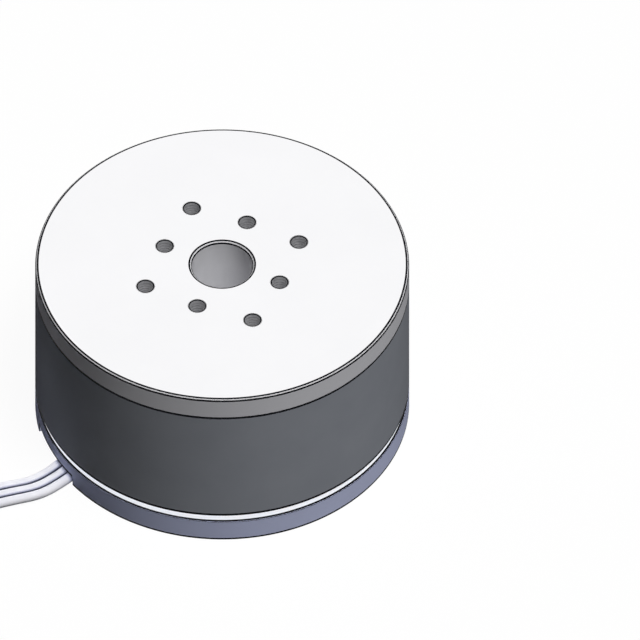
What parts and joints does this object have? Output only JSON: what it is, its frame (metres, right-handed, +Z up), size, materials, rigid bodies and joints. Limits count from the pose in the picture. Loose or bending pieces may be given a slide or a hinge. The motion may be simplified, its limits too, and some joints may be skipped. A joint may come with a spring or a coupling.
{
  "type": "gimbal motor",
  "caption": "Flat round brushless motor: a light cap with a hollow shaft and tapped holes on a dark bell, which spins over a flanged base that thin loose leads leave at its rim.",
  "frame": {"origin": "centre of the base's underside, on the spin axis", "axes": "+Z up the spin axis, out of the rotor's face; +X through one of the outer tapped holes of the rotor's face at rest; the leads leave the base near -X"},
  "size_m": [0.0736, 0.046, 0.025],
  "materials": {
    "cap_aluminium": "fine turned, clear anodised",
    "bell_steel": "ground steel under dark grey plating",
    "base_aluminium": "turned, satin bluish grey anodised",
    "magnet_nickel": "nickel plated",
    "bearing_steel": "ground and polished",
    "shield_steel": "pressed sheet",
    "ball_steel": "polished",
    "cage_nylon": "moulded",
    "nut_steel": "nickel plated",
    "lock_ring_steel": "turned",
    "core_varnish": "laminated steel under amber insulating varnish",
    "winding_copper": "enamelled copper wire",
    "splice_sleeve": "heat-shrink tube",
    "lead_silicone": "white silicone insulation",
    "tinned_copper": "tinned strands",
    "tie_nylon": "natural nylon band"
  },
  "bodies": {
    "stator": {"base": "base_aluminium", "stator_core": "core_varnish", "coils_phase_a": "winding_copper", "coils_phase_b": "winding_copper", "coils_phase_c": "winding_copper", "winding_tails": "winding_copper", "lead_splices": "splice_sleeve", "upper_bearing_outer_ring": "bearing_steel", "lower_bearing_outer_ring": "bearing_steel", "upper_bearing_shields": "shield_steel", "lower_bearing_shields": "shield_steel", "lead_a": "lead_silicone", "lead_b": "lead_silicone", "lead_c": "lead_silicone", "lead_coil": "lead_silicone", "lead_tips": "tinned_copper", "lead_ties": "tie_nylon"},
    "rotor": {"rotor_cap": "cap_aluminium", "bell_ring": "bell_steel", "magnets_north": "magnet_nickel", "magnets_south": "magnet_nickel", "upper_bearing_inner_ring": "bearing_steel", "lower_bearing_inner_ring": "bearing_steel", "shaft_nut": "nut_steel", "lock_ring": "lock_ring_steel"},
    "upper_cage": {"upper_bearing_balls": "ball_steel", "upper_bearing_cage": "cage_nylon"},
    "lower_cage": {"lower_bearing_balls": "ball_steel", "lower_bearing_cage": "cage_nylon"}
  },
  "joints": [
    {"name": "rotor_spin", "type": "hinge", "parent": "stator", "child": "rotor", "pos_m": [0, 0, 0], "axis": [0, 0, 1], "continuous": true},
    {"name": "upper_cage_spin", "type": "hinge", "parent": "stator", "child": "upper_cage", "pos_m": [0, 0, 0], "axis": [0, 0, 1], "continuous": true},
    {"name": "lower_cage_spin", "type": "hinge", "parent": "stator", "child": "lower_cage", "pos_m": [0, 0, 0], "axis": [0, 0, 1], "continuous": true}
  ],
  "couplings": [
    {"joint": "upper_cage_spin", "follows": "rotor_spin", "ratio": 0.418},
    {"joint": "lower_cage_spin", "follows": "rotor_spin", "ratio": 0.418}
  ]
}
